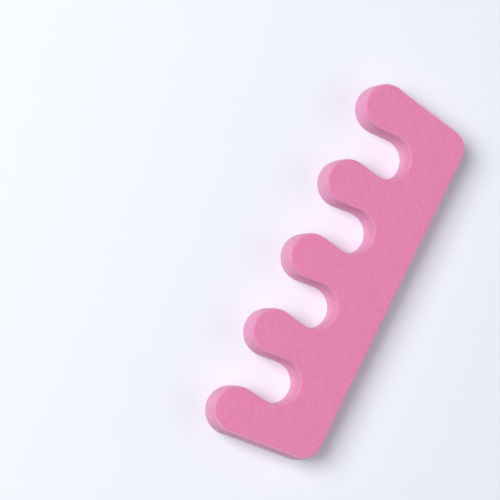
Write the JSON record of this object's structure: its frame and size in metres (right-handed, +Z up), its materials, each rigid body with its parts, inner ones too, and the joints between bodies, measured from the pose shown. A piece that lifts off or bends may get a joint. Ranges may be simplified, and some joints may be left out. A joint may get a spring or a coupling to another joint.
{
  "type": "toe separator",
  "caption": "Flat foam toe separator: a straight spine with a row of round-ended fingers, and round-bottomed slots between them that hold the toes apart.",
  "frame": {"origin": "on the plane that the slab lies on, under the middle of its bounding box", "axes": "+X along the straight back edge, +Y from the back edge towards the finger tips, +Z up through the thickness"},
  "size_m": [0.1026, 0.0314, 0.0085],
  "materials": {
    "foam": "matt pink closed-cell foam with a fine grain, paler on the cut walls"
  },
  "bodies": {
    "root": {"toe_separator": "foam"}
  },
  "joints": []
}
